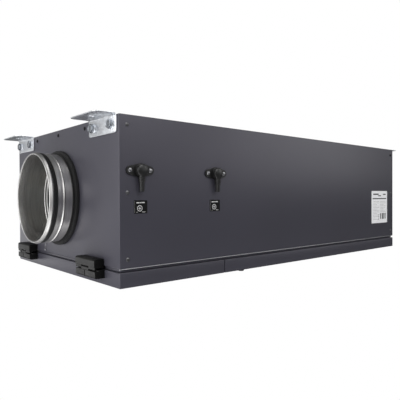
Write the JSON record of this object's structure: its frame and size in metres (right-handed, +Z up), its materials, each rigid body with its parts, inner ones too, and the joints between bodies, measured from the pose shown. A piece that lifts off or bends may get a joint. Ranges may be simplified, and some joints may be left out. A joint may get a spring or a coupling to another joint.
{
  "type": "air handling unit",
  "caption": "Compact ceiling-hung duct air handling unit: insulated sheet steel casing with a round duct connection at each end, hanging brackets and hinged service lids underneath.",
  "frame": {"origin": "middle of the footprint, on the plane of the latch heads under the lids", "axes": "+X along the air path from the inlet to the outlet, -Y towards the service side with the cable elbows, +Z up"},
  "size_m": [1.169, 0.5576, 0.329],
  "materials": {
    "graphite_paint": "semi gloss powder coat",
    "galvanised_steel": "galvanised",
    "black_nylon": "moulded satin",
    "black_rubber": "matt",
    "filter_media": "pleated fleece",
    "motor_casting": "painted casting"
  },
  "bodies": {
    "casing": {"front_panel": "graphite_paint", "rear_panel": "graphite_paint", "near_side_panel": "graphite_paint", "far_side_panel": "graphite_paint", "top_panel": "graphite_paint", "casing_gasket": "black_rubber", "lid_seam_rail": "galvanised_steel", "inlet_spigot": "galvanised_steel", "inlet_seal": "black_rubber", "inlet_collar": "black_rubber", "outlet_spigot": "galvanised_steel", "outlet_seal": "black_rubber", "outlet_collar": "black_rubber", "bracket_front_near": "galvanised_steel", "bracket_front_far": "galvanised_steel", "bracket_rear_near": "galvanised_steel", "bracket_rear_far": "galvanised_steel", "hinge_body_front_near": "black_nylon", "hinge_body_front_far": "black_nylon", "hinge_body_rear_near": "black_nylon", "hinge_body_rear_far": "black_nylon", "cable_elbow_front": "black_nylon", "cable_elbow_rear": "black_nylon", "filter_cassette": "filter_media", "filter_rail_near": "galvanised_steel", "filter_rail_far": "galvanised_steel", "fan_bulkhead": "galvanised_steel", "fan_nozzle": "galvanised_steel", "fan_impeller": "black_nylon", "fan_motor": "motor_casting", "fan_motor_mount": "galvanised_steel", "heater": "galvanised_steel", "control_box": "galvanised_steel"},
    "filter_door": {"filter_lid": "graphite_paint", "hinge_lid_front_near": "black_nylon", "hinge_lid_front_far": "black_nylon", "filter_latch": "black_nylon"},
    "service_door": {"service_lid": "graphite_paint", "hinge_lid_rear_near": "black_nylon", "hinge_lid_rear_far": "black_nylon", "service_latch_near": "black_nylon", "service_latch_far": "black_nylon"}
  },
  "joints": [
    {"name": "filter_lid_hinge", "type": "hinge", "parent": "casing", "child": "filter_door", "pos_m": [-0.5403, 0.00775, 0.0347], "axis": [0, 1, 0], "range_deg": [0, 90]},
    {"name": "service_lid_hinge", "type": "hinge", "parent": "casing", "child": "service_door", "pos_m": [0.5403, 0.00775, 0.0347], "axis": [0, -1, 0], "range_deg": [0, 90]}
  ]
}
